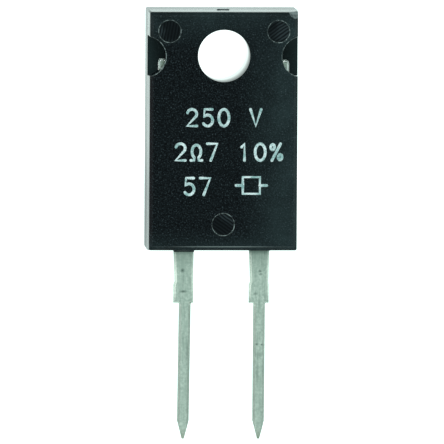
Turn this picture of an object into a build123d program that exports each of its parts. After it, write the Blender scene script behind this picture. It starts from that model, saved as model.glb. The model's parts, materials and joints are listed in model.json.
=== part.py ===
"""Thick-film power resistor in a moulded through-hole case, made to be screwed to a heatsink.

Frame: millimetres. The part lies on the bare ceramic of its back. The origin is where the axis of the
screw hole meets that back plane, +Z points out of the moulded front and the leads run towards -Y.
"""
from build123d import *
from math import atan2, degrees, radians, tan
import os

# ---- moulded case: black epoxy, widest at its parting line ------------------------------------------
case_width = 10.1
case_length = 16.18
case_thickness = 4.4
hole_to_top = 3.02            # hole axis to the case's top face
screw_hole_diameter = 3.5
front_draft = 3.7             # degrees, from the parting line to the front
back_draft = 0.1              # degrees, from the parting line to the back
front_chamfer = 0.25
corner_radius = 0.12
chip_across = 0.57            # front corner right of the screw hole, knocked off: along the top,
chip_down = 0.37              # down the side
chip_deep = 0.5               # and back along the corner

# side notches, where two mould pins press the lead frame down
notch_radius = 1.35
notch_outset = 0.2            # notch axis beyond the case's side
notch_below_hole = 0.05       # notch axis below the screw hole's
arm_proud = 0.1               # how far a lead's arm stands above the notch floor
notch_rim = 0.06              # broken edge round the notch

# ejector-pin marks in the front
mark_diameter = 1.56
mark_depth = 0.08
mark_rim = 0.04
upper_mark_x = 3.65
upper_mark_y = 1.65
lower_mark_inset = 1.84       # from the case's bottom face

# broken-off mould gate on the top face
gate_width = 0.8
gate_height = 0.35
gate_proud = 0.05

# resin lips round the leads where they leave the case
left_lip_proud = 0.12
right_lip_proud = 0.04
lip_side = 0.02
lip_above = 0.12

# ---- leads: 0.5 mm tinned copper, stamped in one plane ----------------------------------------------
lead_pitch = 5.08
lead_thickness = 0.5
lead_underside = 2.35         # above the back plane
lead_length = 12.73           # from the case's bottom face to the point
root_width = 1.36
neck_left = 0.565             # half widths at the neck, just above the cut tie bar
neck_right = 0.61
neck_start = 2.14             # distances from the case's bottom face
stub_start = 2.36
stub_left = 0.65              # half widths where the tie bar was cut away
stub_right = 0.635
shoulder = 3.57
shoulder_radius = 0.12
shank_width = 0.72
point_length = 1.22
point_width = 0.13
coined_edge = 0.15            # bevel along the front edges of the lead

# inside the case: crossbar and locating arm in the lead's plane, foot bent down to the ceramic
crossbar_inset = 0.75         # from the case's bottom face
crossbar_height = 0.8
arm_width = 0.62
left_arm_inset = 0.73         # from the case's side to the arm's outer edge
right_arm_inset = 0.6
left_arm_tip = 0.28           # arm's tip below the hole axis
right_arm_tip = 0.36
arm_tip_radius = 0.22
arm_edge_round = 0.09
foot_width = 0.9
foot_run = 0.75               # horizontal length of the sloping stretch
foot_flat = 1.5
foot_start = 0.35             # straight stretch before the bend
foot_bend_radius = 0.4        # on the centre line

# ---- ceramic and its printed layers -----------------------------------------------------------------
ceramic_thickness = 1.0
ceramic_side_margin = 0.6     # resin between the ceramic and the case's side
ceramic_bottom_margin = 0.6
ceramic_hole_margin = 0.6     # resin between the ceramic and the screw hole
conductor_thickness = 0.03
conductor_edge_margin = 0.3   # bare ceramic outside the conductors
conductor_width = 1.1
pad_inner_margin = 0.3        # pad beyond the foot, towards the middle
pad_end_margin = 0.35         # pad beyond the foot's flat, at each end
film_thickness = 0.03
film_overlap = 0.25           # film printed over the conductors' inner edges
film_top_margin = 0.55        # bare ceramic above the film
film_pad_gap = 0.45           # bare ceramic between the film and the pads
kerf_width = 0.08             # laser trim
kerf_plunge = 1.6
kerf_run = 1.1
kerf_offset = 0.35            # from the film's middle to the trim's plunge cut, towards -X
glaze_thickness = 0.03
glaze_margin = 0.2
solder_thickness = 0.05
solder_margin = 0.15
solder_climb = 0.25           # height of the solder fillet up the foot's sides

# ---- places worked out from the sizes above ---------------------------------------------------------
case_top = hole_to_top
case_bottom = hole_to_top - case_length
lead_top = lead_underside + lead_thickness
parting_z = lead_top
notch_floor = lead_top - arm_proud
notch_x = case_width / 2 + notch_outset
cut_past = 0.5                # how far cutting tools run past a face

ceramic_half_width = case_width / 2 - ceramic_side_margin
ceramic_top_y = -screw_hole_diameter / 2 - ceramic_hole_margin
ceramic_bottom_y = case_bottom + ceramic_bottom_margin
conductor_top = ceramic_thickness + conductor_thickness
film_top = ceramic_thickness + film_thickness
glaze_top = conductor_top + film_thickness + glaze_thickness

crossbar_bottom_y = case_bottom + crossbar_inset
crossbar_top_y = crossbar_bottom_y + crossbar_height
arm_outer = {-1: case_width / 2 - left_arm_inset, 1: case_width / 2 - right_arm_inset}
arm_tip_y = {-1: -left_arm_tip, 1: -right_arm_tip}
foot_underside = conductor_top + solder_thickness
foot_flat_start = crossbar_top_y + foot_start + foot_run
foot_end = foot_flat_start + foot_flat

conductor_outer = ceramic_half_width - conductor_edge_margin
conductor_inner = conductor_outer - conductor_width
pad_inner = lead_pitch / 2 - foot_width / 2 - pad_inner_margin
pad_bottom_y = foot_flat_start - pad_end_margin
pad_top_y = foot_end + pad_end_margin
film_bottom_y = pad_top_y + film_pad_gap
film_top_y = ceramic_top_y - film_top_margin


def block(x_range, y_range, z_range):
    """A box between two values on each axis, given in either order."""
    size = [abs(high - low) for low, high in (x_range, y_range, z_range)]
    middle = [(high + low) / 2 for low, high in (x_range, y_range, z_range)]
    return Pos(*middle) * Box(*size)


def mirrored(side, near, far):
    """A range on X for the left (-1) or right (+1) half."""
    return (side * near, side * far)


# ---- ceramic and printed layers ---------------------------------------------------------------------
def make_ceramic():
    """The alumina plate that carries the film and is bare on the back."""
    return block((-ceramic_half_width, ceramic_half_width), (ceramic_bottom_y, ceramic_top_y),
                 (0, ceramic_thickness))


def make_conductor(side):
    """A silver-palladium strip beside the film, with a pad for the lead's foot at its lower end."""
    layer = (ceramic_thickness, conductor_top)
    strip = block(mirrored(side, conductor_inner, conductor_outer), (pad_bottom_y, film_top_y), layer)
    pad = block(mirrored(side, pad_inner, conductor_outer), (pad_bottom_y, pad_top_y), layer)
    return strip + pad


def make_film():
    """The resistive layer: it bridges the conductors, laps over their edges and has a laser trim."""
    rows = (film_bottom_y, film_top_y)
    film = block((-conductor_inner, conductor_inner), rows, (ceramic_thickness, film_top))
    for side in (-1, 1):
        lap = mirrored(side, conductor_inner - film_thickness, conductor_inner + film_overlap)
        film += block(lap, rows, (conductor_top, conductor_top + film_thickness))
    trim_layer = (ceramic_thickness, glaze_top)
    plunge_top = film_bottom_y + kerf_plunge
    film -= block((-kerf_offset - kerf_width, -kerf_offset), (film_bottom_y, plunge_top), trim_layer)
    film -= block((-kerf_offset - kerf_width, kerf_run - kerf_offset),
                  (plunge_top - kerf_width, plunge_top), trim_layer)
    return film


def make_glaze(film, conductors):
    """The glass coat printed over the film, filling its trim and covering its edges."""
    half_width = conductor_inner + film_overlap + glaze_margin
    coat = block((-half_width, half_width), (film_bottom_y - glaze_margin, film_top_y + glaze_margin),
                 (ceramic_thickness, glaze_top))
    coat -= film
    for conductor in conductors:
        coat -= conductor
    return coat


# ---- leads ------------------------------------------------------------------------------------------
def lead_shank():
    """The part of a lead outside the case, on the lead's own centre line and from y = 0 downwards."""
    half_root = root_width / 2
    half_shank = shank_width / 2
    half_point = point_width / 2
    taper_start = lead_length - point_length
    corners = [
        (-half_root, 0),
        (-neck_left, -neck_start),
        (-stub_left, -stub_start),
        (-stub_left, -shoulder),
        (-half_shank, -shoulder),
        (-half_shank, -taper_start),
        (-half_point, -lead_length),
        (half_point, -lead_length),
        (half_shank, -taper_start),
        (half_shank, -shoulder),
        (stub_right, -shoulder),
        (stub_right, -stub_start),
        (neck_right, -neck_start),
        (half_root, 0),
    ]
    outline = make_face(Polyline(*corners, close=True))
    throats = [v for v in outline.vertices()
               if abs(v.Y + shoulder) < 1e-6 and abs(abs(v.X) - half_shank) < 1e-6]
    outline = fillet(throats, shoulder_radius)
    shank = extrude(outline, lead_thickness)
    front = shank.faces().sort_by(Axis.Z)[-1]
    bevelled = [e for e in front.edges()
                if e.center().Y < -1e-6 and e.center().Y > -taper_start]
    return chamfer(bevelled, coined_edge)


def lead_arm(side):
    """The arm in the lead's plane that the mould pin holds, with a round-cornered tip."""
    low_x, high_x = sorted(mirrored(side, arm_outer[side] - arm_width, arm_outer[side]))
    tip_y = arm_tip_y[side]
    corners = [(low_x, crossbar_bottom_y), (low_x, tip_y), (high_x, tip_y), (high_x, crossbar_bottom_y)]
    outline = make_face(Polyline(*corners, close=True))
    outline = fillet(outline.vertices().sort_by(Axis.Y)[-2:], arm_tip_radius)
    arm = extrude(outline, lead_thickness)
    front = arm.faces().sort_by(Axis.Z)[-1]
    rounded = [e for e in front.edges() if e.center().Y > crossbar_bottom_y + 1e-6]
    return Pos(0, 0, lead_underside) * fillet(rounded, arm_edge_round)


def lead_foot(side):
    """The tongue bent down from the lead's plane to lie flat on the solder pad."""
    lead_middle = lead_underside + lead_thickness / 2
    foot_middle = foot_underside + lead_thickness / 2
    bend_start = crossbar_top_y + foot_start
    centre_line = FilletPolyline((crossbar_bottom_y, lead_middle), (bend_start, lead_middle),
                                 (foot_flat_start, foot_middle), (foot_end, foot_middle),
                                 radius=foot_bend_radius)
    profile = Plane.YZ * trace(centre_line, lead_thickness)
    tongue = extrude(profile, foot_width / 2, both=True)
    return Pos(side * lead_pitch / 2, 0, 0) * tongue


def make_lead(side):
    """One lead: shank, root and crossbar in one plane, the arm beside them and the foot bent down."""
    centre_x = side * lead_pitch / 2
    plane = (lead_underside, lead_top)
    shank = Pos(centre_x, case_bottom, lead_underside) * lead_shank()
    root = block((centre_x - root_width / 2, centre_x + root_width / 2),
                 (case_bottom, crossbar_top_y), plane)
    arm_middle = arm_outer[side] - arm_width / 2
    crossbar = block((centre_x, side * arm_middle), (crossbar_bottom_y, crossbar_top_y), plane)
    return shank + root + crossbar + lead_arm(side) + lead_foot(side)


def make_solder(side, lead):
    """The solder under a foot, with a sloping fillet round its edges."""
    half_x = foot_width / 2 + solder_margin
    low_y = foot_flat_start - solder_margin
    high_y = foot_end + solder_margin
    with BuildSketch(Plane.XY.offset(conductor_top)) as footprint:
        with Locations((side * lead_pitch / 2, (low_y + high_y) / 2)):
            Rectangle(2 * half_x, high_y - low_y)
    height = solder_thickness + solder_climb
    mound = extrude(footprint.sketch, height, taper=degrees(atan2(solder_margin, height)))
    return mound - lead


# ---- case -------------------------------------------------------------------------------------------
def case_blank():
    """The plain moulding: drafted both ways from the parting line, front edges and corners broken."""
    outline = Pos(0, (case_top + case_bottom) / 2, parting_z) * Rectangle(case_width, case_length)
    front = extrude(outline, case_thickness - parting_z, taper=front_draft)
    back = extrude(outline, -parting_z, taper=back_draft)
    blank = front + back
    blank = chamfer(blank.faces().sort_by(Axis.Z)[-1].edges(), front_chamfer)
    upright = [e for e in blank.edges() if abs(e.vertices()[0].Z - e.vertices()[-1].Z) > 1e-6]
    return fillet(upright, corner_radius) - corner_chip()


def corner_chip():
    """The corner that was knocked off the front, right of the screw hole."""
    edge_z = case_thickness - front_chamfer
    draw_in = tan(radians(front_draft)) * (edge_z - parting_z)
    corner = Vector(case_width / 2 - draw_in, case_top - draw_in, edge_z)
    broken = Plane(origin=corner - Vector(chip_across, 0, 0),
                   z_dir=(1 / chip_across, 1 / chip_down, 1 / chip_deep))
    size = 2 * (chip_across + chip_down + chip_deep)
    return broken * Pos(0, 0, size / 2) * Box(size, size, size)


def pin_print(radius, floor, rim):
    """The tool that a round mould pin leaves behind: a straight wall with a broken edge at the front."""
    straight = Pos(0, 0, floor) * Cylinder(radius, case_thickness - floor + cut_past,
                                           align=(Align.CENTER, Align.CENTER, Align.MIN))
    flare = Pos(0, 0, case_thickness - rim) * Cone(radius, radius + rim, rim,
                                                   align=(Align.CENTER, Align.CENTER, Align.MIN))
    return straight + flare


def make_case(buried):
    """The moulding, with its hole, notches and pin marks, moulded round the buried pieces."""
    case = case_blank()
    case += block((-gate_width / 2, gate_width / 2), (case_top - cut_past, case_top + gate_proud),
                  (parting_z - gate_height, parting_z))
    for side, lip_proud in ((-1, left_lip_proud), (1, right_lip_proud)):
        lead_x = side * lead_pitch / 2
        lip_half = root_width / 2 + lip_side
        case += block((lead_x - lip_half, lead_x + lip_half),
                      (case_bottom - lip_proud, case_bottom + cut_past),
                      (lead_underside - lip_above, lead_top + lip_above))
        case -= Pos(side * notch_x, -notch_below_hole) * pin_print(notch_radius, notch_floor, notch_rim)
        case -= Pos(side * upper_mark_x, upper_mark_y) * pin_print(
            mark_diameter / 2, case_thickness - mark_depth, mark_rim)
    case -= Pos(0, case_bottom + lower_mark_inset) * pin_print(
        mark_diameter / 2, case_thickness - mark_depth, mark_rim)
    case -= Cylinder(screw_hole_diameter / 2, 3 * case_thickness)
    for piece in buried:
        case -= piece
    return case


def make_pieces():
    """Every piece by its node's name, in the order in which they are put together."""
    film = make_film()
    conductors = [make_conductor(side) for side in (-1, 1)]
    leads = [make_lead(side) for side in (-1, 1)]
    pieces = {
        "ceramic_substrate": make_ceramic(),
        "left_conductor": conductors[0],
        "right_conductor": conductors[1],
        "resistive_film": film,
        "glass_overglaze": make_glaze(film, conductors),
        "left_lead": leads[0],
        "right_lead": leads[1],
        "left_foot_solder": make_solder(-1, leads[0]),
        "right_foot_solder": make_solder(1, leads[1]),
    }
    pieces["moulded_case"] = make_case(list(pieces.values()))
    return pieces


os.makedirs("parts", exist_ok=True)
for node, piece in make_pieces().items():
    export_step(piece, f"parts/{node}.step")
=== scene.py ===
"""Looks of a moulded thick-film power resistor: its case, leads, ceramic, print and studio stage.

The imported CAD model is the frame, and every object is in metres in its coordinates: the part lies on its
ceramic back, +Z comes out of the moulded front and the leads run towards -Y. Shapes are modelled in
millimetres on the bench and turned to metres when they are done.
"""
import json
from functools import partial
from math import ceil, copysign, cos, pi, radians, sin, tan

import bmesh
import bpy
from mathutils import Matrix, Vector


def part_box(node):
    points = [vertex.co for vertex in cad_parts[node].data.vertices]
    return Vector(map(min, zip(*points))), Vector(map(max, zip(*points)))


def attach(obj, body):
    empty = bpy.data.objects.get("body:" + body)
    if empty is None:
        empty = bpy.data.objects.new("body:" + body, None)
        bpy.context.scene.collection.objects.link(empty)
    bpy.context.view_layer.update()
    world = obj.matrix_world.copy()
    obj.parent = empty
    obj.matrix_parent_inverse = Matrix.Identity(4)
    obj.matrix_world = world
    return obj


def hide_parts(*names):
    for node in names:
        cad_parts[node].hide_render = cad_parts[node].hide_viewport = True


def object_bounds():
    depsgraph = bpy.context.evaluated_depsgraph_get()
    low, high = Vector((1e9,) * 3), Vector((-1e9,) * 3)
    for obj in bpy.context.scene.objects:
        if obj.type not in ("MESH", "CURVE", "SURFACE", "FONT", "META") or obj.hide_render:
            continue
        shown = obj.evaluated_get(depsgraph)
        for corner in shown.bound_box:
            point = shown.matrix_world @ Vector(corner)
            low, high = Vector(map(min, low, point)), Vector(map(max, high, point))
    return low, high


bl_info = {
    "name": "Moulded Power Resistor",
    "version": (1, 0, 0),
    "blender": (4, 5, 0),
    "location": "3D View > Sidebar > Resistor",
    "description": "Builds a screw-mounted thick-film power resistor round its CAD model",
    "category": "Add Mesh",
}

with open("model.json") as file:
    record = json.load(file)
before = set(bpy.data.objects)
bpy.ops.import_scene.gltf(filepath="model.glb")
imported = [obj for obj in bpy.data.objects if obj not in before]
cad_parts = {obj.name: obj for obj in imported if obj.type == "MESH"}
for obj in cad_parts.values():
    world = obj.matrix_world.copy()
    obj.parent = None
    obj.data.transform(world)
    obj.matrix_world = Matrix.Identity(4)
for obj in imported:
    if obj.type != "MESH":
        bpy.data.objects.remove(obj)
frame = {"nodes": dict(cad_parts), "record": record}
cad_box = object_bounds()

MM = 0.001
PRINTED_LAYERS = ("left_conductor", "right_conductor", "resistive_film", "glass_overglaze")
SOLDER_JOINTS = ("left_foot_solder", "right_foot_solder")
LEADS = ("left_lead", "right_lead")

# Cutting and joining shapes reach this far past the faces that they meet, in millimetres.
PAST = 0.5
# Points this near to a plane, in millimetres, are taken to lie on it.
SLACK = 0.01
# The leads' sides bulge only this far below the case, in millimetres, and by no more than this share of
# their distance from the lead's middle, so that the point stays narrow.
CLEAR_OF_LIPS = 0.2
MOST_BURR = 1 / 12
# How the turning lines on the ends of the three ejector pins lie, in degrees, and how far apart they are
# drawn, in millimetres.
MARK_TURNS = (100, -35, 35)
TURNING_PITCH = 0.19635
# Dents in the leads: the lead, how far right of its middle and below the case, the width and height as
# multiples of a typical dent, and the strength.
DENTS = (
    ("left_lead", -0.08, 1.38, 0.9, 0.9, 1.0),
    ("left_lead", -0.03, 2.8, 1.6, 0.6, 0.9),
    ("right_lead", 0.06, 1.42, 0.7, 0.6, 1.0),
    ("right_lead", 0.12, 1.62, 0.8, 0.5, 0.7),
    ("right_lead", -0.25, 2.95, 1.0, 0.7, 0.5),
    ("right_lead", -0.14, 6.35, 0.55, 0.45, 1.0),
    ("right_lead", 0.2, 6.38, 0.55, 0.45, 1.0),
    ("right_lead", 0.0, 7.05, 2.2, 1.2, 0.35),
    ("left_lead", 0.25, 6.9, 0.5, 5.0, 0.5),
    ("right_lead", -0.1, 8.4, 0.5, 6.0, 0.5),
)
# The print: each line, its left end right of the screw hole's axis, its foot below the case's top.
RATING = (("250 V", -2.6, 7.81), ("2Ω7 10%", -3.36, 10.12), ("57", -2.75, 12.43))
SYMBOL_PLACE = (0.85, 12.58)
SYMBOL_SIZE = (2.05, 1.75)
# Softboxes: place and size in millimetres, and brightness per area. All look at the middle of the part.
SOFTBOXES = (
    ("front_softbox", (10, -110, 90), (60, 40), 5.0),
    ("left_softbox", (-120, 5, 42), (80, 70), 1.3),
    ("right_softbox", (125, 5, 42), (80, 70), 0.8),
    ("rear_softbox", (-20, 100, 100), (70, 45), 5.0),
)
LIT_POINT = (0, -6, 3)
# From the middle of the part, at the front of the leads, to where the camera looks.
CAMERA_AIM = (0.0085, 0.151, 0.15)


# ---- helpers ----------------------------------------------------------------------------------------
def linear(hex_colour):
    """Turns an sRGB hex colour such as "#1a2023" to the linear RGBA that shaders take."""
    channels = [int(hex_colour[i:i + 2], 16) / 255 for i in (1, 3, 5)]
    return tuple(c / 12.92 if c <= 0.04045 else ((c + 0.055) / 1.055) ** 2.4 for c in channels) + (1.0,)


def box_mm(node):
    """Lowest and highest corner of a CAD node, in millimetres."""
    low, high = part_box(node)
    return low / MM, high / MM


def length(name, description, millimetres):
    """A size that shows in the sidebar in the scene's units."""
    return bpy.props.FloatProperty(name=name, description=description, default=millimetres * MM,
                                   min=0.0, precision=5, subtype="DISTANCE", unit="LENGTH")


def angle(name, description, turned):
    """An angle that shows in degrees."""
    return bpy.props.FloatProperty(name=name, description=description, default=radians(turned),
                                   precision=3, subtype="ANGLE", unit="ROTATION")


def colour(name, description, hex_colour):
    """A colour given as sRGB hex."""
    return bpy.props.FloatVectorProperty(name=name, description=description, size=4, min=0.0, max=1.0,
                                         default=linear(hex_colour), subtype="COLOR")


def number(name, description, value):
    """A plain factor, such as a brightness."""
    return bpy.props.FloatProperty(name=name, description=description, default=value, min=0.0,
                                   precision=3)


def new_object(name, data):
    """A new object in the scene for a mesh, curve, light or camera."""
    thing = bpy.data.objects.new(name, data)
    bpy.context.scene.collection.objects.link(thing)
    return thing


def bench_object(name, shape):
    """A new object that holds a bmesh in millimetres. The bmesh is freed."""
    mesh = bpy.data.meshes.new(name)
    shape.to_mesh(mesh)
    shape.free()
    return new_object(name, mesh)


def shown_mesh(thing):
    """The mesh that an object shows, with its modifiers or its curve's pen."""
    depsgraph = bpy.context.evaluated_depsgraph_get()
    return bpy.data.meshes.new_from_object(thing.evaluated_get(depsgraph), depsgraph=depsgraph)


def apply_modifiers(piece):
    """Makes what a piece's modifiers show its own mesh."""
    finished = shown_mesh(piece)
    piece.modifiers.clear()
    before = piece.data
    piece.data = finished
    bpy.data.meshes.remove(before)


def combine(piece, tools, operation):
    """Joins tools to a piece (UNION) or cuts them out of it (DIFFERENCE), and clears them away."""
    for tool in tools:
        step = piece.modifiers.new(tool.name, "BOOLEAN")
        step.operation = operation
        step.solver = "EXACT"
        step.object = tool
    apply_modifiers(piece)
    for tool in tools:
        mesh = tool.data
        bpy.data.objects.remove(tool)
        bpy.data.meshes.remove(mesh)


def bar(name, low, high):
    """A block between two corners."""
    shape = bmesh.new()
    bmesh.ops.create_cube(shape, size=1.0)
    bmesh.ops.scale(shape, vec=Vector(high) - Vector(low), verts=shape.verts)
    bmesh.ops.translate(shape, vec=(Vector(high) + Vector(low)) / 2, verts=shape.verts)
    return bench_object(name, shape)


def pin(name, centre, radius, z_range, sides=96):
    """A round upright pin, which cuts the hole or mark that a pin of the mould leaves."""
    low, high = z_range
    shape = bmesh.new()
    bmesh.ops.create_cone(shape, cap_ends=True, segments=sides, radius1=radius, radius2=radius,
                          depth=high - low)
    # Turned off the axes, so that no corner of the pin falls in a plane of the case.
    bmesh.ops.rotate(shape, matrix=Matrix.Rotation(radians(1.1), 3, "Z"), verts=shape.verts)
    bmesh.ops.translate(shape, vec=(*centre, (low + high) / 2), verts=shape.verts)
    return bench_object(name, shape)


def copy_of(node):
    """A merged copy of a CAD node, in millimetres."""
    shape = bmesh.new()
    shape.from_mesh(frame["nodes"][node].data)
    bmesh.ops.scale(shape, vec=(1 / MM,) * 3, verts=shape.verts)
    bmesh.ops.remove_doubles(shape, verts=shape.verts, dist=1e-4)
    return bench_object(node + "_copy", shape)


def round_edges(piece, limit, **settings):
    """Rounds the edges that are sharper than the limit in degrees."""
    rounding = piece.modifiers.new("rounded edges", "BEVEL")
    rounding.limit_method = "ANGLE"
    rounding.angle_limit = radians(limit)
    for name, value in settings.items():
        setattr(rounding, name, value)
    apply_modifiers(piece)


def smooth_by_angle(piece, limit):
    """Shades curved stretches smooth, keeps the edges that are sharper than the limit and flats flat."""
    piece.data.shade_smooth()
    piece.data.set_sharp_from_angle(angle=radians(limit))
    flats = piece.modifiers.new("flat faces stay flat", "WEIGHTED_NORMAL")
    flats.keep_sharp = True


def finish_piece(piece, material):
    """Brings a piece from the bench to the frame, gives it its finish and lets it ride on the part."""
    piece.data.transform(Matrix.Scale(MM, 4))
    piece.data.materials.clear()
    piece.data.materials.append(material)
    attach(piece, "root")


def dress(node, material):
    """Gives a CAD node its finish."""
    mesh = frame["nodes"][node].data
    mesh.materials.clear()
    mesh.materials.append(material)


# ---- materials --------------------------------------------------------------------------------------
def add_node(tree, kind, inputs=(), **settings):
    """Adds a node with its settings and links.

    The inputs are a tuple in the order of the node's sockets, or a dict by name or number. Each is a
    plain value, an output socket, or a node, whose first output in use is meant. A Mix node takes its
    two colours as inputs 6 and 7, and its two plain values as inputs 2 and 3.
    """
    node = tree.nodes.new("ShaderNode" + kind)
    for name, value in settings.items():
        setattr(node, name, value)
    for name, value in inputs.items() if isinstance(inputs, dict) else enumerate(inputs):
        if isinstance(value, bpy.types.Node):
            value = next(output for output in value.outputs if output.enabled)
        if isinstance(value, bpy.types.NodeSocket):
            tree.links.new(value, node.inputs[name])
        else:
            node.inputs[name].default_value = value
    return node


def new_material(name):
    """An empty material: itself, add_node for its tree, and the place on the part in millimetres."""
    material = bpy.data.materials.new(name)
    material.use_nodes = True
    material.node_tree.nodes.clear()
    add = partial(add_node, material.node_tree)
    metres = add("TexCoord").outputs["Object"]
    return material, add, add("VectorMath", {0: metres, "Scale": 1 / MM}, operation="SCALE")


def finish_surface(add, base, coats, **inputs):
    """Lays coats over the base colour, each given as its mask and colour, and adds the shader."""
    for mask, coat in coats:
        base = add("Mix", {0: mask, 6: base, 7: coat}, data_type="RGBA")
    by_name = {name.replace("_", " "): value for name, value in inputs.items()}
    shader = add("BsdfPrincipled", {"Base Color": base, **by_name})
    add("OutputMaterial", (shader,))


def grain(add, place, size, stretch=(1, 1, 1), detail=2.0, roughness=0.5, shift=(0, 0, 0)):
    """Soft random grain whose spots are about `size` millimetres across, times the stretch."""
    mapped = add("Mapping", {"Vector": place, "Location": shift, "Scale": [1 / s for s in stretch]})
    return add("TexNoise", {
        "Vector": mapped, "Scale": 1 / size, "Detail": detail, "Roughness": roughness})


def band(add, value, centre, reach, core=0.0):
    """1 where a value is within `core` of the centre, fading to 0 at `reach` from it."""
    off = add("Math", (value, centre), operation="SUBTRACT")
    off = add("Math", (off,), operation="ABSOLUTE")
    return add("MapRange", (off, reach, core))


def spot(add, place, centre, size, strength=1.0):
    """The strength at a centre in millimetres, fading to 0 at the edge of an oval of that size."""
    moved = add("VectorMath", (place, centre), operation="SUBTRACT")
    scaled = add("VectorMath", (moved, [1 / s for s in size]), operation="MULTIPLY")
    distance = add("VectorMath", (scaled,), operation="LENGTH")
    return add("MapRange", (distance, 1.0, 0.0, 0.0, strength))


def ring(add, place, centre, radius, width):
    """1 on a circle round an upright axis, fading to 0 at that width on either side of it."""
    flat = add("VectorMath", (place, (1, 1, 0)), operation="MULTIPLY")
    moved = add("VectorMath", (flat, (*centre, 0)), operation="SUBTRACT")
    distance = add("VectorMath", (moved,), operation="LENGTH")
    return band(add, distance, radius, width)


def pin_marks(add, place, case):
    """Masks of the ejector-pin marks: their floors, the turning lines on them and their rims."""
    floors, lines, rims = 0.0, 0.0, 0.0
    for centre, turn in zip(case.mark_centres, MARK_TURNS):
        disc = spot(add, place, (*centre, case.front_z), (case.mark_radius, case.mark_radius, 0.6))
        disc = add("MapRange", (disc, 0.02, 0.1))
        turned = add("Mapping", {"Vector": place, "Rotation": (0, 0, radians(turn))})
        # A wave repeats every pi / 10 over its scale. Real turning lines are finer than can show.
        wave = add("TexWave", {
            "Vector": turned, "Scale": pi / 10 / TURNING_PITCH, "Distortion": 2.0, "Detail": 2.0},
            bands_direction="Y").outputs["Fac"]
        turning = add("Math", (disc, wave), operation="MULTIPLY")
        # The rim mask later carries a painted highlight.
        rim = ring(add, place, centre, case.mark_radius, 0.04)
        floors = add("Math", (disc, floors), operation="MAXIMUM")
        lines = add("Math", (turning, lines), operation="MAXIMUM")
        rims = add("Math", (rim, rims), operation="MAXIMUM")
    return floors, lines, rims


def painted_light_mask(add, axes, case, clouds):
    """Mask of painted light: the front lighter to its right and at both ends, and the shaded notch floors.
    """
    x, y, z = axes
    low, high = case.extent
    # Painted light: the front grows lighter towards its right side and both ends.
    painted_light = add("MapRange", (x, 1.0, high.x))
    for start, end in ((high.y - 2.6, high.y - 0.4), (low.y + 1.6, low.y + 0.2)):
        near_end = add("MapRange", (y, start, end, 0.0, 0.65))
        painted_light = add("Math", (painted_light, near_end), operation="MAXIMUM")
    cloudy = add("MapRange", (clouds, 0.35, 0.65, 0.5, 1.1))
    painted_light = add("Math", (painted_light, cloudy), operation="MULTIPLY")
    # Painted light: the notch floors lie in shade and are painted lighter, most towards the outside.
    normal = add("NewGeometry").outputs["True Normal"]
    facing_up = add("SeparateXYZ", (normal,)).outputs["Z"]
    at_floor = band(add, z, case.notch_floor, 0.04, 0.02)
    on_floor = add("MapRange", (facing_up, 0.7, 0.9, 0.0, at_floor))
    beside = add("Math", (x,), operation="ABSOLUTE")
    outwards = add("MapRange", (beside, high.x - 1.3, high.x, 0.35, 0.9))
    on_floor = add("Math", (on_floor, outwards), operation="MULTIPLY")
    return add("Math", (painted_light, on_floor), operation="MAXIMUM")


def marks_and_painted_light(add, place, axes, case, rims, at_front):
    """Mask of painted highlights on mark and notch rims and the lower front edge, and of the pale breaks.
    """
    x, y, z = axes
    # Grain that breaks the painted highlights into patches and roughens the breaks.
    worn = grain(add, place, 0.28, detail=3.0, roughness=0.65, shift=(4, 1, 6))
    for centre in case.notch_centres:
        rim = ring(add, place, centre, case.notch_radius / MM + 0.015, 0.04)
        rim = add("Math", (rim, 0.7), operation="MULTIPLY")
        rims = add("Math", (rim, rims), operation="MAXIMUM")
    # Painted highlights on the rims, broken into patches.
    patchy = add("MapRange", (worn, 0.47, 0.57, 0.16, 1.0))
    rims = add("Math", (rims, patchy), operation="MULTIPLY")
    # A painted highlight along the lower front edge, brightest towards the middle.
    beside = add("Math", (x,), operation="ABSOLUTE")
    crease_middle = add("MapRange", (beside, 3.6, 1.2, 0.05, 0.5))
    crease = band(add, y, case.lower_crease, 0.05)
    crease = add("Math", (crease, crease_middle), operation="MULTIPLY")
    highlit_and_broken = add("Math", (rims, crease), operation="MAXIMUM")
    highlit_and_broken = add("Math", (highlit_and_broken, at_front), operation="MULTIPLY")
    outwards, through = case.chip_plane
    across = add("VectorMath", (place, outwards), operation="DOT_PRODUCT")
    broken = band(add, across, outwards.dot(through), 0.04, 0.02)
    rough_break = add("MapRange", (worn, 0.35, 0.65, 0.08, 0.45))
    broken = add("Math", (broken, rough_break), operation="MULTIPLY")
    highlit_and_broken = add("Math", (highlit_and_broken, broken), operation="MAXIMUM")
    top = case.extent[1].y
    at_gate = add("MapRange", (y, top + 0.002, top + 0.01, 0.0, 0.4))
    return add("Math", (highlit_and_broken, at_gate), operation="MAXIMUM")


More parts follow.
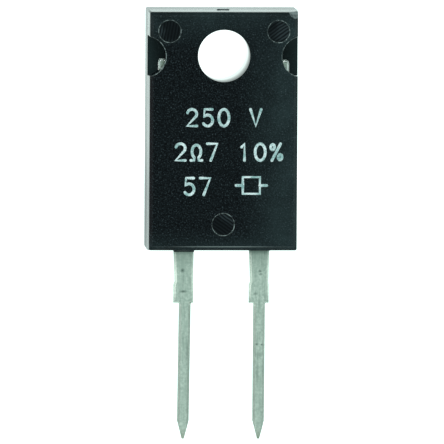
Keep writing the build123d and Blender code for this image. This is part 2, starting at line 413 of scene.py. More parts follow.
def black_epoxy(case):
    """Glass-filled epoxy moulding compound, transfer moulded in a spark-eroded tool.

    It is near black with a cold cast, satin rather than shiny, with a fine speckle of filler at the
    front. Painted light makes the front lighter towards the right side and both ends, and the shaded
    notch floors lighter. The side walls and the screw hole, which slide along polished steel, are
    smoother. The rims of the pin marks and notches and the lower front edge carry painted highlights,
    the broken corner and gate are paler, and the pin marks show the turning lines of their pins.
    """
    material, add, place = new_material("moulded black epoxy")
    axes = add("SeparateXYZ", (place,)).outputs[:]
    x, y, z = axes
    low, high = case.extent
    at_front = add("MapRange", (z, high.z - 0.16, high.z - 0.04))

    clouds = grain(add, place, 2.2, detail=4.0)
    # The spark-eroded grain and the filler's are 0.03 mm, and drawn at 0.1 mm so that they show.
    pits = grain(add, place, 0.1, detail=3.0, roughness=0.6)
    specks = grain(add, place, 0.1, detail=3.0, roughness=0.7, shift=(7, 3, 1))
    grit = grain(add, place, 0.085, roughness=0.6, shift=(2, 9, 4))
    shown = add("MapRange", (at_front, 0.0, 1.0, 0.4, 1.0))
    grit = add("MapRange", (grit, 0.46, 0.66, 0.0, shown))
    specks = add("MapRange", (specks, 0.57, 0.69, 0.0, shown))
    # Painted light on the front's right side and ends and in the notch floors.
    painted_light = painted_light_mask(add, axes, case, clouds)
    floors, lines, rims = pin_marks(add, place, case)
    # Painted highlights on rims and the lower front edge, and the paler broken corner and gate.
    highlit_and_broken = marks_and_painted_light(add, place, axes, case, rims, at_front)
    floors = add("Math", (floors, 0.9), operation="MULTIPLY")
    here_and_there = add("MapRange", (clouds, 0.42, 0.58, 0.1, 0.5))
    lines = add("Math", (lines, here_and_there), operation="MULTIPLY")
    base = add("Mix", {0: grit, 6: case.resin_dark, 7: case.resin_light}, data_type="RGBA")
    base = add("Mix", {0: painted_light, 6: base, 7: case.resin_painted_light}, data_type="RGBA", blend_type="ADD")
    coats = [(specks, case.resin_filler), (floors, case.resin_dark), (lines, case.resin_filler),
             (highlit_and_broken, case.resin_highlit_and_broken)]

    near_axis = ring(add, place, (0, 0), 0.0, case.hole_radius + 0.12)
    off_front = add("Math", (1.0, at_front), operation="SUBTRACT")
    in_hole = add("MapRange", (near_axis, 0.0, 0.04, 0.0, off_front))
    parted = add("MapRange", (z, case.parting_z - 0.05, case.parting_z + 0.05))
    start, end = low.y + 4.0, low.y + 7.5
    behind = add("MapRange", (y, start, end, 0.32, 0.26))
    before = add("MapRange", (y, start, end, 0.22, 0.16))
    rough = add("Mix", {0: parted, 2: behind, 3: before})
    rough = add("Mix", {0: at_front, 2: rough, 3: 0.43})
    rough = add("Mix", {0: in_hole, 2: rough, 3: 0.03})
    cut_lines = add("Math", (lines, 0.8), operation="MULTIPLY")
    height = add("Math", (pits, cut_lines), operation="ADD")
    strength = add("MapRange", (at_front, 0.0, 1.0, 0.06, 0.5))
    bump = add("Bump", {"Height": height, "Strength": strength, "Distance": 0.012 * MM})
    finish_surface(add, base, coats, Roughness=rough, Normal=bump, IOR=1.55, Specular_IOR_Level=0.06)
    return material


def tinned_copper(leads):
    """Copper strip, stamped and coined, then plated with matte tin.

    It is a soft grey metal, brushed along its length by the forming tools, with a fine crystalline
    mottle and a few dull dents from handling. Painted shade darkens the slanted edges down the shank
    and the lead where it leaves the case, and a white painted highlight lies on the rims of the cut
    arms. The copper shows at the cut arms and towards the sheared points.
    """
    material, add, place = new_material("matte tinned copper")
    x, y, z = add("SeparateXYZ", (place,)).outputs
    # The tin's crystals and the brushing are a few hundredths of a millimetre, drawn wider to show.
    crystals = grain(add, place, 0.16, detail=3.0, roughness=0.6)
    brushing = grain(add, place, 0.09, stretch=(1, 16, 1), shift=(2, 0, 5))
    patches = grain(add, place, 0.6, stretch=(0.5, 1.8, 1), detail=3.0, shift=(0, 4, 0))
    coats = [(add("MapRange", (crystals, 0.33, 0.67)), leads.tin_bright),
             (add("MapRange", (patches, 0.45, 0.68, 0.0, 0.7)), leads.tin_dull),
             (add("MapRange", (brushing, 0.52, 0.75, 0.0, 0.36)), leads.tin_tarnish_and_shade)]
    coats += [(spot(add, place, centre, size, strength), leads.tin_tarnish_and_shade)
              for centre, size, strength in leads.dents]

    # Painted shade on the lead where it leaves the case, darkest at the case.
    root = leads.case_bottom
    near_case = add("MapRange", (y, root - 1.5, root - 0.4, 0.0, 0.3))
    at_case = add("MapRange", (y, root - 0.35, root - 0.02, 0.0, 0.6))
    root_shade = add("Math", (near_case, at_case), operation="ADD")
    root_shade = add("MapRange", (y, root + 1.0, root + 0.2, 0.0, root_shade))
    beside = add("Math", (x,), operation="ABSOLUTE")
    near_cut = add("MapRange", (beside, leads.arm_start / MM - 0.1, leads.arm_start / MM))
    torn = add("MapRange", (crystals, 0.45, 0.65, 0.0, 0.8))
    torn = add("Math", (torn, near_cut), operation="MULTIPLY")
    point = box_mm(LEADS[0])[0].y
    sheared = add("MapRange", (y, point + 0.8, point, 0.0, 0.5))
    sheared = add("Math", (torn, sheared), operation="MAXIMUM")
    normal = add("NewGeometry").outputs["True Normal"]
    upright = add("SeparateXYZ", (normal,)).outputs["Z"]
    # Painted highlight: the slanted rims of the cut arms are painted white.
    rolled = add("MapRange", (upright, 0.995, 0.97, 0.0, near_cut))
    rolled = add("MapRange", (upright, 0.1, 0.4, 0.0, rolled))
    # Painted shade: the slanted edge faces down the shank are darkened by their tilt.
    shoulder = root - leads.shoulder / MM
    on_shank = add("MapRange", (y, shoulder + 0.1, shoulder - 0.3, 0.0, 0.45))
    coined = add("MapRange", (upright, 0.99, 0.9, 0.0, on_shank))
    coats += [(root_shade, leads.tin_tarnish_and_shade), (sheared, leads.bare_copper), (rolled, leads.tin_painted_highlight),
              (coined, leads.tin_tarnish_and_shade)]

    rough = add("MapRange", (crystals, 0.3, 0.7, 0.3, 0.46))
    polished = add("Math", (rolled, 0.2), operation="MULTIPLY")
    rough = add("Math", (rough, polished), operation="SUBTRACT")
    height = add("Math", (crystals, 0.7), operation="MULTIPLY")
    height = add("Math", (height, brushing), operation="ADD")
    bump = add("Bump", {"Height": height, "Strength": 0.35, "Distance": 0.006 * MM})
    finish_surface(add, leads.tin_dull, coats, Roughness=rough, Normal=bump, Metallic=1.0)
    return material


def alumina(ceramic):
    """96% alumina plate, tape cast, fired and broken out along laser-scribed lines.

    It is off-white and matte with a fine sintered grain, a few grey specks, and a darker scribed edge.
    """
    material, add, place = new_material("fired alumina")
    low, high = box_mm("ceramic_substrate")
    middle, half = (low + high) / 2, (high - low) / 2
    # The sintered grain is some thousandths of a millimetre and drawn at 0.06 mm, so that it shows.
    sinter = grain(add, place, 0.06, detail=3.0, roughness=0.6)
    clouds = grain(add, place, 1.8, detail=3.0)
    specks = grain(add, place, 0.12, detail=1.0, shift=(5, 9, 2))
    near_edge = 0.0
    for axis, place_on_axis in enumerate(add("SeparateXYZ", (place,)).outputs[:2]):
        off = add("Math", (place_on_axis, middle[axis]), operation="SUBTRACT")
        off = add("Math", (off,), operation="ABSOLUTE")
        off = add("MapRange", (off, half[axis] - 0.14, half[axis] - 0.02))
        near_edge = add("Math", (off, near_edge), operation="MAXIMUM")
    # The laser scribes a row of pits 0.12 mm apart, which is drawn at 0.16 mm so that it shows.
    pits = grain(add, place, 0.16, detail=0.0, shift=(1, 1, 1))
    scribed = add("MapRange", (pits, 0.3, 0.65, 0.35, 1.0))
    scribed = add("Math", (near_edge, scribed), operation="MULTIPLY")
    darker = add("Math", (scribed, 0.55), operation="MULTIPLY")
    coats = [(add("MapRange", (clouds, 0.35, 0.65)), ceramic.alumina_warm),
             (add("MapRange", (specks, 0.68, 0.74, 0.0, 0.6)), ceramic.alumina_speck),
             (darker, ceramic.alumina_speck)]
    sunk = add("Math", (scribed, 2.0), operation="MULTIPLY")
    height = add("Math", (sinter, sunk), operation="SUBTRACT")
    bump = add("Bump", {"Height": height, "Strength": 0.4, "Distance": 0.006 * MM})
    rough = add("MapRange", (sinter, 0.3, 0.7, 0.5, 0.66))
    finish_surface(add, ceramic.alumina, coats, Roughness=rough, Normal=bump, IOR=1.7)
    return material


def fired_paste(name, dark, light, size, metallic, roughness):
    """A screen-printed paste after firing: a thin layer with the mesh's faint unevenness."""
    material, add, place = new_material(name)
    uneven = grain(add, place, size, detail=4.0, roughness=0.6)
    lighter = add("MapRange", (uneven, 0.35, 0.65))
    rough = add("MapRange", (uneven, 0.3, 0.7, roughness - 0.06, roughness + 0.06))
    bump = add("Bump", {"Height": uneven, "Strength": 0.4, "Distance": 0.005 * MM})
    finish_surface(add, linear(dark), [(lighter, linear(light))], Roughness=rough, Normal=bump,
                   Metallic=metallic)
    return material


def marking_ink(marking):
    """White-grey epoxy ink, pad printed on the grainy case and cured.

    It is thin and chalky: the grain of the case shows through as darker pin holes, and the bead of ink
    is a little lighter where it lies thickest.
    """
    material, add, place = new_material("cured marking ink")
    # As coarse as the grain of the case is drawn, which the ink follows.
    grainy = grain(add, place, 0.09, detail=3.0, roughness=0.65, shift=(3, 8, 1))
    thick = grain(add, place, 0.5, shift=(9, 1, 4))
    bright = grain(add, place, 0.11, detail=3.0, roughness=0.7, shift=(1, 6, 2))
    coats = [(add("MapRange", (thick, 0.35, 0.65)), marking.ink_thick),
             (add("MapRange", (bright, 0.56, 0.68, 0.0, 0.9)), marking.ink_thick),
             (add("MapRange", (grainy, 0.52, 0.66, 0.0, 0.8)), marking.ink_worn)]
    bump = add("Bump", {"Height": grainy, "Strength": 0.4, "Distance": 0.006 * MM})
    finish_surface(add, marking.ink, coats, Roughness=0.62, Normal=bump)
    return material


def table_top(stage):
    """White translucent sheet lit from below, so that it hardly takes a shadow.

    A lamp under the screw hole makes it brightest there, and further out it fades to pale grey card,
    which keeps the part's edges dark against it.
    """
    material, add, place = new_material("lit white table")
    # Fibres lie in clouds some millimetres across in the sheet.
    fibres = grain(add, place, 3.0)
    fibrous = add("MapRange", (fibres, 0.3, 0.7))
    distance = add("VectorMath", (place,), operation="LENGTH")
    sheet = add("MapRange", (distance, 30.0, 70.0, stage.table_glow, stage.table_far_glow))
    lamp = add("MapRange", (distance, 2.0, 14.0, stage.lamp_glow, 0.0))
    glow = add("Math", (sheet, lamp), operation="ADD")
    finish_surface(add, stage.table, [(fibrous, stage.table_fibre)], Roughness=0.8,
                   Specular_IOR_Level=0.1, Emission_Color=stage.table_light, Emission_Strength=glow)
    return material


# ---- moulded case -----------------------------------------------------------------------------------
class ResistorCase(bpy.types.PropertyGroup):
    """Sizes and colours of the moulded case."""

    left_lip: length("Left lip", "How far the resin lip stands out round the left lead", 0.12)
    right_lip: length("Right lip", "How far the resin lip stands out round the right lead", 0.04)
    gate_proud: length("Gate stub", "How far the broken gate stands out of the top face", 0.05)
    gate_width: length("Gate width", "Width of the broken gate", 0.8)
    gate_height: length("Gate height", "Height of the broken gate", 0.35)
    lip_side: length("Lip side", "Resin beside the lead in a lip", 0.02)
    lip_above: length("Lip above", "Resin above and below the lead in a lip", 0.12)
    front_chamfer: length("Front chamfer", "Broken edge round the front", 0.25)
    corner: length("Corners", "Radius of the four upright corners", 0.12)
    chip_across: length("Chip, across", "Knocked-off corner along the top of the front", 0.57)
    chip_down: length("Chip, down", "Knocked-off corner down the side of the front", 0.37)
    chip_deep: length("Chip, deep", "Knocked-off corner back from the front", 0.5)
    lead_thickness: length("Lead thickness", "Thickness of the strip that the leads are cut from", 0.5)
    edge_round: length("Edge rounding", "Radius of every other moulded edge", 0.045)
    notch_radius: length("Notch radius", "Radius of the side notches", 1.35)
    notch_outset: length("Notch outset", "Notch axis beyond the case's side", 0.2)
    notch_drop: length("Notch drop", "Notch axis below the screw hole's, towards the leads", 0.05)
    notch_below_lead: length("Notch floor", "Notch floor below the front of the leads", 0.1)
    mark_size: length("Ejector mark", "Diameter of the ejector-pin marks", 1.5)
    mark_depth: length("Mark depth", "Depth of the ejector-pin marks", 0.08)
    upper_mark_x: length("Upper marks, sideways", "Upper marks beside the screw hole's axis", 3.65)
    upper_mark_y: length("Upper marks, up", "Upper marks above the screw hole's axis", 1.65)
    lower_mark_inset: length("Lower mark", "Lower mark above the case's bottom face", 1.84)
    front_draft: angle("Front draft", "Draft from the parting line to the front", 3.7)
    back_draft: angle("Back draft", "Draft from the parting line to the back", 0.1)
    resin_dark: colour("Resin", "The resin where it is darkest", "#010306")
    resin_light: colour("Resin, light", "The resin in its lighter grains", "#182024")
    resin_filler: colour("Resin, filler", "Specks of filler near the surface", "#434e53")
    # Painted light, added to the front's right side and ends and to the notch floors.
    resin_painted_light: colour("Resin, bloom", "What a film of mould release adds", "#232f30")
    # Painted highlight on the rims and lower front edge, and the colour of the paler breaks.
    resin_highlit_and_broken: colour("Resin, scuffed", "The resin on scuffed edges", "#a9b6b6")

    @property
    def extent(self):
        """Lowest and highest corner of the box-shaped body, without gate and lips."""
        low, high = box_mm("moulded_case")
        low.y += max(self.left_lip, self.right_lip) / MM
        high.y -= self.gate_proud / MM
        return low, high

    @property
    def parting_z(self):
        """Height of the parting line, which is the front of the leads."""
        return box_mm("left_lead")[1].z

    @property
    def notch_floor(self):
        """Height of the floors of the side notches."""
        return self.parting_z - self.notch_below_lead / MM

    @property
    def front_inset(self):
        """How far the drafted front edge, before it is broken, stands inside the parting line."""
        return tan(self.front_draft) * (self.front_z - self.parting_z)

    @property
    def lower_crease(self):
        """Where the front face ends and the broken edge at the leads begins."""
        return self.extent[0].y + self.front_inset + self.front_chamfer / MM

    @property
    def hole_radius(self):
        """Radius of the screw hole."""
        return frame["record"]["mounts"][0]["dims"]["r_mm"]

    @property
    def front_z(self):
        """Height of the front face."""
        return self.extent[1].z

    @property
    def notch_centres(self):
        """Places of the axes of the two side notches."""
        x = self.extent[1].x + self.notch_outset / MM
        return [(-x, -self.notch_drop / MM), (x, -self.notch_drop / MM)]

    @property
    def chip_plane(self):
        """The break at the corner right of the screw hole: its outward direction and a point on it."""
        high = self.extent[1]
        chamfer = self.front_chamfer / MM
        draw_in = tan(self.front_draft) * (high.z - chamfer - self.parting_z)
        across, down, deep = (cut / MM for cut in (self.chip_across, self.chip_down, self.chip_deep))
        through = Vector((high.x - draw_in - across, high.y - draw_in, high.z - chamfer))
        return Vector((1 / across, 1 / down, 1 / deep)).normalized(), through

    @property
    def mark_radius(self):
        """Radius of the ejector-pin marks."""
        return self.mark_size / MM / 2

    @property
    def mark_centres(self):
        """Places of the three ejector-pin marks on the front."""
        x, y = self.upper_mark_x / MM, self.upper_mark_y / MM
        return [(-x, y), (x, y), (0.0, self.extent[0].y + self.lower_mark_inset / MM)]


def case_blank(case):
    """The plain moulding: drafted both ways from the parting line, front edges and corners broken."""
    low, high = case.extent
    middle, half = (low + high) / 2, (high - low) / 2
    shape = bmesh.new()
    bmesh.ops.create_grid(shape, x_segments=1, y_segments=1, size=1.0)
    bmesh.ops.scale(shape, vec=(half.x, half.y, 1), verts=shape.verts)
    bmesh.ops.bevel(shape, geom=shape.verts[:], affect="VERTICES", offset=case.corner / MM, segments=6,
                    profile=0.5, material=-1)
    chamfer = case.front_chamfer / MM
    rise = high.z - case.parting_z
    levels = (
        (low.z, tan(case.back_draft) * (case.parting_z - low.z)),
        (case.parting_z, 0.0),
        (high.z - chamfer, case.front_inset * (rise - chamfer) / rise),
        (high.z, case.front_inset + chamfer),
    )
    top = shape.faces[:]
    outline = [v.co.copy() for v in top[0].verts]
    for level, (z, inset) in enumerate(levels):
        if level:
            below = top
            top = [f for f in bmesh.ops.extrude_face_region(shape, geom=below)["geom"]
                   if isinstance(f, bmesh.types.BMFace)]
            if level > 1:
                bmesh.ops.delete(shape, geom=below, context="FACES_ONLY")
        for vertex, start in zip(top[0].verts, outline):
            vertex.co = (start.x * (1 - inset / half.x) + middle.x,
                         start.y * (1 - inset / half.y) + middle.y, z)
    bmesh.ops.recalc_face_normals(shape, faces=shape.faces)
    # Seams through the middles of the round cuts keep every face free of holes.
    for x in sorted({centre[0] for centre in case.mark_centres}):
        bmesh.ops.bisect_plane(shape, geom=shape.verts[:] + shape.edges[:] + shape.faces[:],
                               plane_co=(x, 0, 0), plane_no=(1, 0, 0))
    return bench_object("moulded_case_body", shape)


def corner_chip(case):
    """A block that knocks the corner off along a slanting break."""
    outwards, through = case.chip_plane
    size = 2 * (case.chip_across + case.chip_down + case.chip_deep) / MM
    shape = bmesh.new()
    bmesh.ops.create_cube(shape, size=size)
    bmesh.ops.translate(shape, vec=(0, 0, size / 2), verts=shape.verts)
    bmesh.ops.rotate(shape, matrix=outwards.to_track_quat("Z", "Y").to_matrix(), verts=shape.verts)
    bmesh.ops.translate(shape, vec=through, verts=shape.verts)
    return bench_object("corner_chip", shape)


def build_case(case):
    """The moulding with its lips, gate stub, screw hole, notches and pin marks."""
    low, high = case.extent
    body = case_blank(case)
    parting = case.parting_z
    gate_side = case.gate_width / MM / 2
    added = [bar("gate", (-gate_side, high.y - PAST, parting - case.gate_height / MM),
                 (gate_side, high.y + case.gate_proud / MM, parting))]
    above, beside = case.lip_above / MM, case.lip_side / MM
    under = parting - case.lead_thickness / MM
    for node, proud in zip(LEADS, (case.left_lip / MM, case.right_lip / MM)):
        side_low, side_high = lead_root(case, node)
        added.append(bar(node + "_lip", (side_low - beside, low.y - proud, under - above),
                         (side_high + beside, low.y + PAST, parting + above)))
    combine(body, added, "UNION")
    past = high.z + PAST
    cut = [pin("screw_hole", (0, 0), case.hole_radius, (low.z - PAST, past), sides=128)]
    for centre in case.notch_centres:
        cut.append(pin("notch", centre, case.notch_radius / MM, (case.notch_floor, past), sides=128))
    cut.append(corner_chip(case))
    for centre in case.mark_centres:
        cut.append(pin("mark", centre, case.mark_radius, (high.z - case.mark_depth / MM, past)))
    combine(body, cut, "DIFFERENCE")
    # The facets of the round corners turn by 15 degrees, and stay as they are.
    round_edges(body, 24, width=case.edge_round / MM, segments=3, use_clamp_overlap=False)
    seated = ("ceramic_substrate", *PRINTED_LAYERS, *LEADS, *SOLDER_JOINTS)
    combine(body, [copy_of(node) for node in seated], "DIFFERENCE")
    body.name = "epoxy_case"
    smooth_by_angle(body, 32)
    finish_piece(body, black_epoxy(case))
    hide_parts("moulded_case")


def lead_root(case, node):
    """The two sides of a lead where it leaves the case."""
    bottom = case.extent[0].y
    xs = [v.co.x / MM for v in frame["nodes"][node].data.vertices if abs(v.co.y / MM - bottom) < SLACK]
    return min(xs), max(xs)


class RESISTOR_OT_case(bpy.types.Operator):
    """Model the moulded case, which stands for the CAD case"""

    bl_idname = "resistor.case"
    bl_label = "Moulded Case"

    def execute(self, context):
        build_case(context.scene.resistor_case)
        return {"FINISHED"}


# ---- leads ------------------------------------------------------------------------------------------
class ResistorLeads(bpy.types.PropertyGroup):
    """Sizes, stamping marks and colours of the leads."""

    tin_bright: colour("Tin", "Tin plating where it is brightest", "#dae3d9")
    tin_dull: colour("Tin, dull", "Tin plating in its duller crystals", "#bac7bc")
    # Painted highlight: the white on the rims of the cut arms.
    tin_painted_highlight: colour("Tin, burnished", "Tin on the rims of the cut arms", "#ffffff")
    bare_copper: colour("Copper", "Copper alloy laid bare where the arms were cut", "#8a866c")
    # Tarnish in dents and brushing, and painted shade at the lead roots and down the shank's edges.
    tin_tarnish_and_shade: colour("Tin, tarnished", "Tin in dents and scuffs", "#5f7068")
    dent_size: length("Dent size", "Length of a typical dent", 0.2)
    left_offset: length("Left offset", "How far right of the stub the left shank starts", 0.1)
    right_offset: length("Right offset", "How far right of the stub the right shank starts", 0.025)
    shoulder: length("Shoulder", "From the case down to where the shank starts", 3.57)
    shank_reach: length("Shank reach", "Between half the shank's width and half the stub's", 0.45)
    edge_round: length("Edge rounding", "Radius of the stamped edges", 0.02)
    burr: length("Burr", "How far the sheared sides bulge outwards", 0.03)
    arm_round: length("Arm rounding", "Radius of the front edges of the cut arms", 0.07)
    arm_start: length("Arm start", "From the middle of the part to where only the arms reach", 3.6)

    @property
    def case_bottom(self):
        """Where the leads leave the case."""
        return bpy.context.scene.resistor_case.extent[0].y

    def middle(self, node):
        """The line down the middle of a lead."""
        point = box_mm(node)[0].y + SLACK
        xs = [v.co.x / MM for v in frame["nodes"][node].data.vertices if v.co.y / MM < point]
        return (min(xs) + max(xs)) / 2

    @property
    def dents(self):
        """Centre, size and strength of each dent."""
        front, size = box_mm(LEADS[0])[1].z, self.dent_size / MM
        return [((self.middle(node) + across, self.case_bottom - below, front),
                 (size * wide, size * tall, size * 2), strength)
                for node, across, below, wide, tall, strength in DENTS]


def build_lead(leads, node, offset, tin):
    """A lead with its stamped edges rolled round and its shank stamped a little off the middle."""
    piece = copy_of(node)
    shape = bmesh.new()
    shape.from_mesh(piece.data)
    bmesh.ops.dissolve_limit(shape, angle_limit=radians(0.5), verts=shape.verts, edges=shape.edges)
    shoulder = leads.case_bottom - leads.shoulder / MM
    middle = leads.middle(node)
    out_of_lips = leads.case_bottom - CLEAR_OF_LIPS
    bmesh.ops.bisect_plane(shape, geom=[*shape.verts, *shape.edges, *shape.faces],
                           plane_co=(0, out_of_lips, 0), plane_no=(0, 1, 0))
    for vertex in shape.verts:
        if vertex.co.y < out_of_lips - SLACK:
            sideways = vertex.co.x - middle
            vertex.co.x += copysign(min(leads.burr / MM, abs(sideways) * MOST_BURR), sideways)
        if vertex.co.y < shoulder + SLACK and abs(vertex.co.x - middle) < leads.shank_reach / MM:
            along = (shoulder - vertex.co.y) / (shoulder - box_mm(node)[0].y)
            vertex.co.x += (1 - along) * offset / MM
    arm_start, front = leads.arm_start / MM, box_mm(node)[1].z - SLACK
    rims = [edge for edge in shape.edges if all(
        abs(vertex.co.x) > arm_start and vertex.co.z > front for vertex in edge.verts)]
    bmesh.ops.bevel(shape, geom=rims, affect="EDGES", offset=leads.arm_round / MM, segments=3,
                    profile=0.5, material=-1)
    shape.to_mesh(piece.data)
    shape.free()
    round_edges(piece, 30, width=leads.edge_round / MM, segments=2)
    piece.name = node.replace("lead", "tinned_lead")
    smooth_by_angle(piece, 30)
    finish_piece(piece, tin)
    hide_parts(node)


class RESISTOR_OT_leads(bpy.types.Operator):
    """Stamp the two leads out of their CAD shapes and plate them with matte tin"""

    bl_idname = "resistor.leads"
    bl_label = "Tinned Leads"

    def execute(self, context):
        leads = context.scene.resistor_leads
        tin = tinned_copper(leads)
        for node, offset in zip(LEADS, (leads.left_offset, leads.right_offset)):
            build_lead(leads, node, offset, tin)
        return {"FINISHED"}


# ---- ceramic and what is printed on it --------------------------------------------------------------
class ResistorCeramic(bpy.types.PropertyGroup):
    """Colours of the ceramic plate."""

    alumina: colour("Alumina", "The bare plate", "#ece9e0")
    alumina_warm: colour("Alumina, warm", "Cloudy patches in the plate", "#e3dfd2")
    alumina_speck: colour("Alumina, speck", "Specks and scribed edges", "#8f8b82")


class RESISTOR_OT_ceramic(bpy.types.Operator):
    """Finish the ceramic plate, its printed layers and the solder joints"""

    bl_idname = "resistor.ceramic"
    bl_label = "Ceramic and Printed Layers"

    def execute(self, context):
        dress("ceramic_substrate", alumina(context.scene.resistor_ceramic))
        # Silver and film keep the print of the screen's mesh, 0.1 mm. Glass and solder flow smoother.
        silver = fired_paste("fired silver palladium", "#b9b6ad", "#d6d3ca", 0.08, 1.0, 0.5)
        film = fired_paste("fired ruthenium oxide film", "#1b1c1f", "#2a2c30", 0.1, 0.0, 0.55)
        glaze = fired_paste("green glass overglaze", "#16391f", "#1f4d2b", 0.3, 0.0, 0.2)
        solder = fired_paste("reflowed solder", "#a9acab", "#c4c7c5", 0.15, 1.0, 0.32)
        for node, finish in zip(PRINTED_LAYERS, (silver, silver, film, glaze)):
            dress(node, finish)
        for node in SOLDER_JOINTS:
            dress(node, solder)
        return {"FINISHED"}


# ---- print on the front -----------------------------------------------------------------------------
class ResistorMarking(bpy.types.PropertyGroup):
    """Lettering of the rating on the front."""

    letter_height: length("Letter height", "Height of a figure", 1.31)
    letter_width: length("Letter width", "Width of a figure", 0.93)
    letter_step: length("Letter step", "From one figure to the next", 1.07)
    stroke: length("Stroke", "Width of a stroke", 0.19)
    ink_height: length("Ink height", "How far the ink stands above the case", 0.008)
    ink: colour("Ink", "The ink", "#91b7b7")
    ink_thick: colour("Ink, thick", "The ink where it lies thickest", "#e8f6f9")
    ink_worn: colour("Ink, worn", "Pin holes where the resin shows through", "#3f5a5a")


def arc(centre_x, centre_y, radius_x, radius_y, start, stop):
    """Points along part of an oval, from one angle in degrees to another."""
    steps = max(2, ceil(abs(stop - start) / 12))
    turns = [radians(start + (stop - start) * i / steps) for i in range(steps + 1)]
    return [(centre_x + radius_x * cos(t), centre_y + radius_y * sin(t)) for t in turns]


# Each figure is a list of pen strokes in a cell one wide and one high, with its foot at 0.
FIGURES = {
    "0": [arc(0.5, 0.5, 0.46, 0.5, 90, 450)],
    "1": [[(0.26, 0.8), (0.52, 1.0), (0.52, 0.0)]],
    "2": [arc(0.5, 0.72, 0.42, 0.28, 165, -35) + [(0.06, 0.0), (0.94, 0.0)]],
    "5": [[(0.88, 1.0), (0.2, 1.0), (0.13, 0.56)] + arc(0.47, 0.33, 0.45, 0.33, 125, -145)],
    "7": [[(0.04, 1.0), (0.94, 1.0), (0.36, 0.0)]],
    "V": [[(0.02, 1.0), (0.5, 0.0), (0.98, 1.0)]],
    "%": [arc(0.18, 0.8, 0.17, 0.16, 90, 450), arc(0.86, 0.2, 0.17, 0.16, 90, 450),
          [(0.9, 1.0), (0.12, 0.0)]],
    "Ω": [[(0.0, 0.0), (0.28, 0.0)] + arc(0.5, 0.52, 0.4, 0.4, 240, -60) + [(0.72, 0.0), (1.0, 0.0)]],
}
# The plain symbol of a resistor: a box with a short line on each side.
SYMBOL = [[(0.0, 0.5), (0.22, 0.5)],
          [(0.22, 0.5), (0.22, 0.82), (0.78, 0.82), (0.78, 0.18), (0.22, 0.18), (0.22, 0.5)],
          [(0.78, 0.5), (1.0, 0.5)]]


def round_end(points, radius):
    """Pairs of point and pen width that round off both ends of a stroke."""
    first, second = Vector(points[0]), Vector(points[1])
    last, before = Vector(points[-1]), Vector(points[-2])
    between = [(p, 1.0) for p in points]
    steps = (80, 60, 35)
    back = (first - second).normalized() * radius
    head = [(first + back * sin(radians(a)), cos(radians(a))) for a in steps]
    back = (last - before).normalized() * radius
    tail = [(last + back * sin(radians(a)), cos(radians(a))) for a in reversed(steps)]
    return head + between + tail


def draw_stroke(curve, points, place, size, radius):
    """Adds one pen stroke to the curve: the ends are rounded unless it closes on itself."""
    x, y = place
    scaled = [Vector((x + px * size[0], y + py * size[1])) for px, py in points]
    closed = (scaled[0] - scaled[-1]).length < 1e-6
    line = [(p, 1.0) for p in scaled[:-1]] if closed else round_end(scaled, radius)
    spline = curve.splines.new("POLY")
    spline.points.add(len(line) - 1)
    for point, (spot_on, wide) in zip(spline.points, line):
        point.co = (*spot_on, 0.0, 1.0)
        point.radius = wide
    spline.use_cyclic_u = closed


def write(curve, text, left, foot, marking):
    """Writes one line of figures with its lower left corner at (left, foot)."""
    radius = marking.stroke / MM / 2
    size = (marking.letter_width / MM - 2 * radius, marking.letter_height / MM - 2 * radius)
    for i, figure in enumerate(text):
        place = (left + radius + i * marking.letter_step / MM, foot + radius)
        for points in FIGURES.get(figure, []):
            draw_stroke(curve, points, place, size, radius)


def build_print(marking, case):
    """The rating on the front: voltage, resistance and tolerance, batch figures, resistor symbol."""
    radius = marking.stroke / MM / 2
    curve = bpy.data.curves.new("marking", "CURVE")
    curve.dimensions = "3D"
    curve.bevel_depth = radius
    curve.bevel_resolution = 2
    curve.use_fill_caps = True
    top = case.extent[1].y
    for text, left, below in RATING:
        write(curve, text, left, top - below, marking)
    for points in SYMBOL:
        draw_stroke(curve, points, (SYMBOL_PLACE[0], top - SYMBOL_PLACE[1]), SYMBOL_SIZE, radius)
    drawn = new_object("marking", curve)
    mesh = shown_mesh(drawn)
    bpy.data.objects.remove(drawn)
    shape = bmesh.new()
    shape.from_mesh(mesh)
    bpy.data.meshes.remove(mesh)
    bmesh.ops.remove_doubles(shape, verts=shape.verts, dist=1e-5)
    bmesh.ops.recalc_face_normals(shape, faces=shape.faces)
    bmesh.ops.scale(shape, vec=(1, 1, marking.ink_height / MM / radius), verts=shape.verts)
    bmesh.ops.translate(shape, vec=(0, 0, case.front_z), verts=shape.verts)
    piece = bench_object("front_print", shape)
    smooth_by_angle(piece, 60)
    finish_piece(piece, marking_ink(marking))


class RESISTOR_OT_print(bpy.types.Operator):
    """Print the rating on the front of the case"""

    bl_idname = "resistor.marking"
    bl_label = "Front Print"

    def execute(self, context):
        build_print(context.scene.resistor_marking, context.scene.resistor_case)
        return {"FINISHED"}


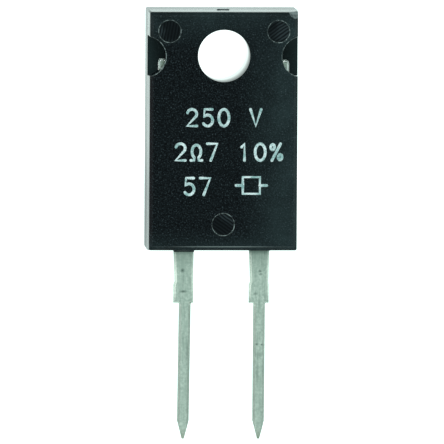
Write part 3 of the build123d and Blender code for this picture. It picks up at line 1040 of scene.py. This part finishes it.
# ---- stage ------------------------------------------------------------------------------------------
class ResistorStage(bpy.types.PropertyGroup):
    """Table, light and camera."""

    table: colour("Table", "The lit white table", "#bfc6c5")
    table_fibre: colour("Table, fibres", "Fibres in the table's sheet", "#b9c1c0")
    table_light: colour("Table light", "Colour of the light in the table", "#ecfcf8")
    table_glow: number("Table glow", "How brightly the table shines round the part", 1.12)
    lamp_glow: number("Lamp glow", "How much brighter it shines under the screw hole", 0.4)
    table_far_glow: number("Far glow", "How brightly the table shines further out", 0.0)
    table_size: length("Table size", "Width of the table", 3000.0)
    sky_top: colour("Ceiling", "Light from straight above", "#c4dbd6")
    sky_side: colour("Walls", "Light from all round", "#a9b9b7")
    sky_brightness: number("Room light", "Brightness of the room's even light", 1.0)
    camera_distance: length("Camera distance", "From the camera to the part", 800.0)
    camera_up: angle("Camera towards the hole", "Lean of the view towards the screw-hole end", 4.747)
    camera_left: angle("Camera to the left", "Lean of the view towards the left side", 3.699)
    camera_roll: angle("Camera roll", "Turn of the camera about its own axis", 0.35)
    camera_lens: bpy.props.FloatProperty(name="Lens", description="Focal length of the long lens",
                                         default=966.33, min=1.0, subtype="DISTANCE_CAMERA",
                                         unit="CAMERA")


def aim(thing, target, roll=0.0):
    """Turns a camera or light so that it looks at a point with +Y up."""
    back = (thing.location - Vector(target)).normalized()
    side = Vector((0, 1, 0)).cross(back).normalized()
    up = back.cross(side)
    turn = Matrix((side, up, back)).transposed() @ Matrix.Rotation(roll, 3, "Z")
    thing.rotation_mode = "QUATERNION"
    thing.rotation_quaternion = turn.to_quaternion()


def add_table(stage):
    """A wide white table that the part lies on."""
    shape = bmesh.new()
    bmesh.ops.create_grid(shape, x_segments=8, y_segments=8, size=stage.table_size / MM / 2)
    table = bench_object("table", shape)
    table.data.transform(Matrix.Scale(MM, 4))
    table.data.materials.append(table_top(stage))


def add_room(stage):
    """Even soft light from all round, a little paler overhead than at the walls."""
    world = bpy.data.worlds.new("studio room")
    bpy.context.scene.world = world
    world.use_nodes = True
    world.node_tree.nodes.clear()
    add = partial(add_node, world.node_tree)
    height = add("SeparateXYZ", (add("TexCoord").outputs["Generated"],)).outputs["Z"]
    overhead = add("MapRange", (height, 0.25, 0.9))
    tone = add("Mix", {0: overhead, 6: stage.sky_side, 7: stage.sky_top}, data_type="RGBA")
    add("OutputWorld", (add("Background", (tone, stage.sky_brightness)),))


def add_softbox(name, place, size, brightness):
    """A soft light in millimetres, with its brightness per area rather than its power."""
    lamp = bpy.data.lights.new(name, "AREA")
    lamp.shape = "RECTANGLE"
    lamp.size, lamp.size_y = (side * MM for side in size)
    lamp.energy = brightness * pi * lamp.size * lamp.size_y
    light = new_object(name, lamp)
    light.location = Vector(place) * MM
    aim(light, Vector(LIT_POINT) * MM)


def add_camera(stage):
    """A long lens that looks down on the part, leaning a little to its upper left."""
    low, high = cad_box
    target = Vector(((low.x + high.x) / 2, (low.y + high.y) / 2, box_mm("left_lead")[1].z * MM))
    target += Vector(CAMERA_AIM) * MM
    back = Vector((-tan(stage.camera_left), tan(stage.camera_up), 1.0)).normalized()
    lens = bpy.data.cameras.new("camera")
    lens.lens = stage.camera_lens
    lens.sensor_width = 36.0
    lens.clip_start, lens.clip_end = 0.01, 20.0
    camera = new_object("camera", lens)
    camera.location = target + back * stage.camera_distance
    aim(camera, target, stage.camera_roll)
    bpy.context.scene.camera = camera


class RESISTOR_OT_stage(bpy.types.Operator):
    """Set up the white table, the soft light and the camera"""

    bl_idname = "resistor.stage"
    bl_label = "Studio Stage"

    def execute(self, context):
        stage = context.scene.resistor_stage
        add_table(stage)
        add_room(stage)
        for name, place, size, brightness in SOFTBOXES:
            add_softbox(name, place, size, brightness)
        add_camera(stage)
        context.scene.view_settings.view_transform = "Standard"
        return {"FINISHED"}


# ---- add-on -----------------------------------------------------------------------------------------
class RESISTOR_PT_parts(bpy.types.Panel):
    """Lists the steps that build the resistor"""

    bl_label = "Power Resistor"
    bl_idname = "RESISTOR_PT_parts"
    bl_space_type = "VIEW_3D"
    bl_region_type = "UI"
    bl_category = "Resistor"

    def draw(self, context):
        for operator, group in STEPS:
            box = self.layout.box()
            box.operator(operator.bl_idname)
            settings = getattr(context.scene, group)
            for name in settings.bl_rna.properties.keys():
                if name not in ("rna_type", "name"):
                    box.prop(settings, name)


GROUPS = {
    "resistor_case": ResistorCase,
    "resistor_leads": ResistorLeads,
    "resistor_ceramic": ResistorCeramic,
    "resistor_marking": ResistorMarking,
    "resistor_stage": ResistorStage,
}
STEPS = (
    (RESISTOR_OT_case, "resistor_case"),
    (RESISTOR_OT_leads, "resistor_leads"),
    (RESISTOR_OT_ceramic, "resistor_ceramic"),
    (RESISTOR_OT_print, "resistor_marking"),
    (RESISTOR_OT_stage, "resistor_stage"),
)
CLASSES = (*GROUPS.values(), *(operator for operator, group in STEPS), RESISTOR_PT_parts)


def register():
    """Registers the classes and hangs each group of settings on the scene."""
    for cls in CLASSES:
        bpy.utils.register_class(cls)
    for name, group in GROUPS.items():
        setattr(bpy.types.Scene, name, bpy.props.PointerProperty(type=group))


def unregister():
    """Takes the settings off the scene and unregisters the classes."""
    for name in GROUPS:
        delattr(bpy.types.Scene, name)
    for cls in reversed(CLASSES):
        bpy.utils.unregister_class(cls)


def main():
    """Builds the pieces in order."""
    register()
    bpy.ops.resistor.case()
    bpy.ops.resistor.leads()
    bpy.ops.resistor.ceramic()
    bpy.ops.resistor.marking()
    bpy.ops.resistor.stage()
    bpy.context.view_layer.update()


if __name__ == "__main__":
    main()
